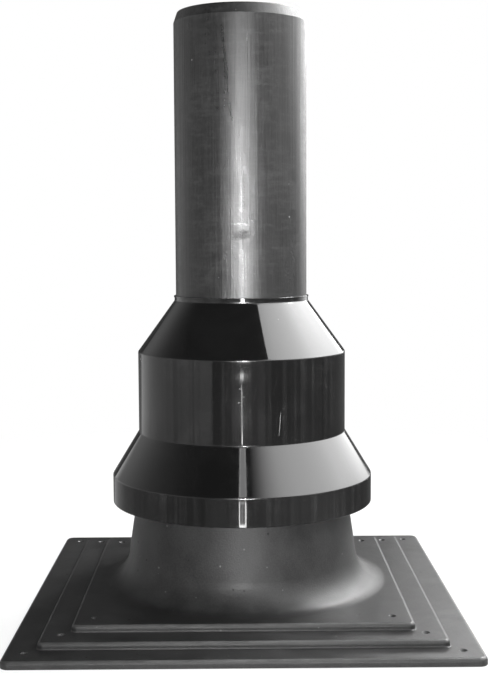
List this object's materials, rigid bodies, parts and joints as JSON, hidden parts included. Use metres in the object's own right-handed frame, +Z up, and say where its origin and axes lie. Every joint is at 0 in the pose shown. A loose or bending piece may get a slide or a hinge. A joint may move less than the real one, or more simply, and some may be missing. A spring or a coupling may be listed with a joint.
{
  "type": "roof flue terminal",
  "caption": "Stepped square roof flashing with a flared neck, a glossy double-cone weather collar and a straight flue pipe open at both ends.",
  "frame": {"origin": "on the pipe's axis, in the plane of the base's lower rim", "axes": "+Z up along the pipe, X and Y along the sides of the square base, front towards -Y"},
  "size_m": [0.4, 0.4, 0.5585],
  "materials": {
    "base_plastic": "fine matte texture, dusty",
    "collar_gloss": "mirror gloss with light smears and a fine scratch",
    "pipe_plastic": "satin, with fine lengthwise streaks and scuffs",
    "seal_rubber": "matte"
  },
  "bodies": {
    "root": {"base_flashing": "base_plastic", "weather_collar": "collar_gloss", "flue_pipe": "pipe_plastic", "pipe_seal": "seal_rubber"}
  },
  "joints": []
}
